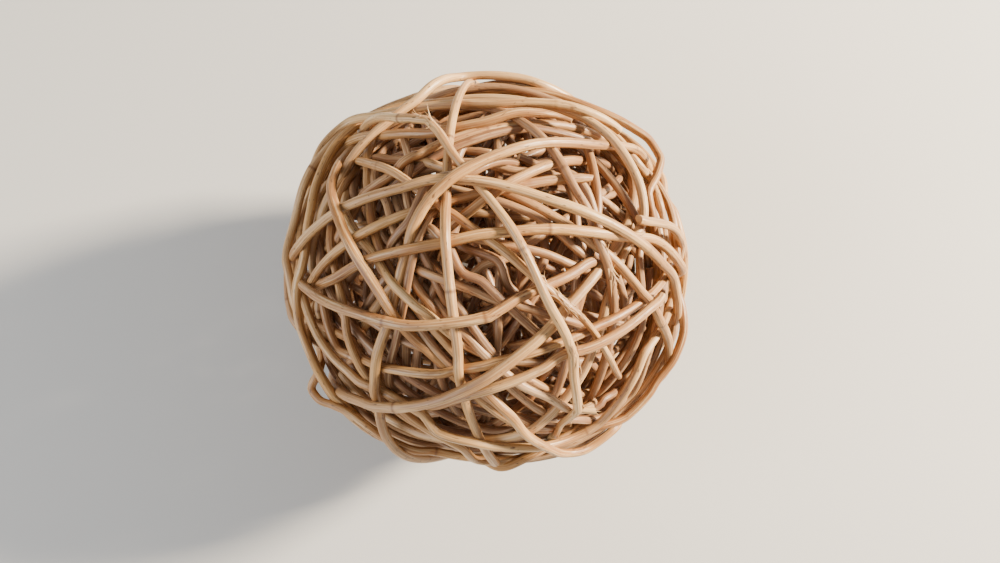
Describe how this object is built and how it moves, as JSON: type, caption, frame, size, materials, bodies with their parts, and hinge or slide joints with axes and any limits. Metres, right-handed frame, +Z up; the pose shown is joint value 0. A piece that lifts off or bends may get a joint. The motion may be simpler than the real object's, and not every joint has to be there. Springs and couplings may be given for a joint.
{
  "type": "decorative sphere",
  "caption": "Hollow decorative ball of bare rattan canes wound round and round into an irregular open shell, with small worn flats that let it rest without rolling.",
  "frame": {"origin": "middle of the ball's footprint, on the surface it rests on", "axes": "+Z up out of the surface, the crown of the ball leaning 13 degrees from +Z towards -Y, +X to the right as the crown is looked down on from -Y"},
  "size_m": [0.151, 0.1491, 0.1477],
  "materials": {
    "rattan_honey": "bare peeled rattan core, honey coloured, dull, fine lengthwise fibres",
    "rattan_pale": "bare peeled rattan core, pale straw coloured, dull, fine lengthwise fibres",
    "rattan_shaded": "bare peeled rattan core, brown where it was never bleached, inside the ball"
  },
  "bodies": {
    "root": {"upright_cane": "rattan_honey", "sprung_cane": "rattan_pale", "high_arc_cane": "rattan_honey", "crossing_cane": "rattan_pale", "crown_cane": "rattan_honey", "under_sweep_cane": "rattan_pale", "left_hook_cane": "rattan_honey", "left_diagonal_cane": "rattan_pale", "split_cane": "rattan_honey", "right_shoulder_cane": "rattan_pale", "top_band_cane": "rattan_honey", "upper_band_cane": "rattan_pale", "shoulder_loop_cane": "rattan_honey", "top_loop_cane": "rattan_pale", "lower_sweep_cane": "rattan_honey", "lower_right_cane": "rattan_pale", "cross_band_cane": "rattan_honey", "right_hip_cane": "rattan_pale", "slanting_cane": "rattan_honey", "short_upright_cane": "rattan_pale", "bottom_arc_cane": "rattan_honey", "lower_band_cane": "rattan_pale", "right_rim_cane": "rattan_honey", "lower_left_band_cane": "rattan_pale", "left_rim_cane": "rattan_honey", "left_corner_cane": "rattan_pale", "lower_left_rim_cane": "rattan_honey", "upper_left_brace_cane": "rattan_pale", "left_upright_cane": "rattan_honey", "right_loop_cane": "rattan_pale", "right_upright_cane": "rattan_honey", "crown_brace_cane": "rattan_pale", "second_brace_cane": "rattan_honey", "left_foot_cane": "rattan_pale", "right_foot_cane": "rattan_honey", "inner_cane_1": "rattan_shaded", "inner_cane_2": "rattan_shaded", "inner_cane_3": "rattan_shaded"}
  },
  "joints": []
}
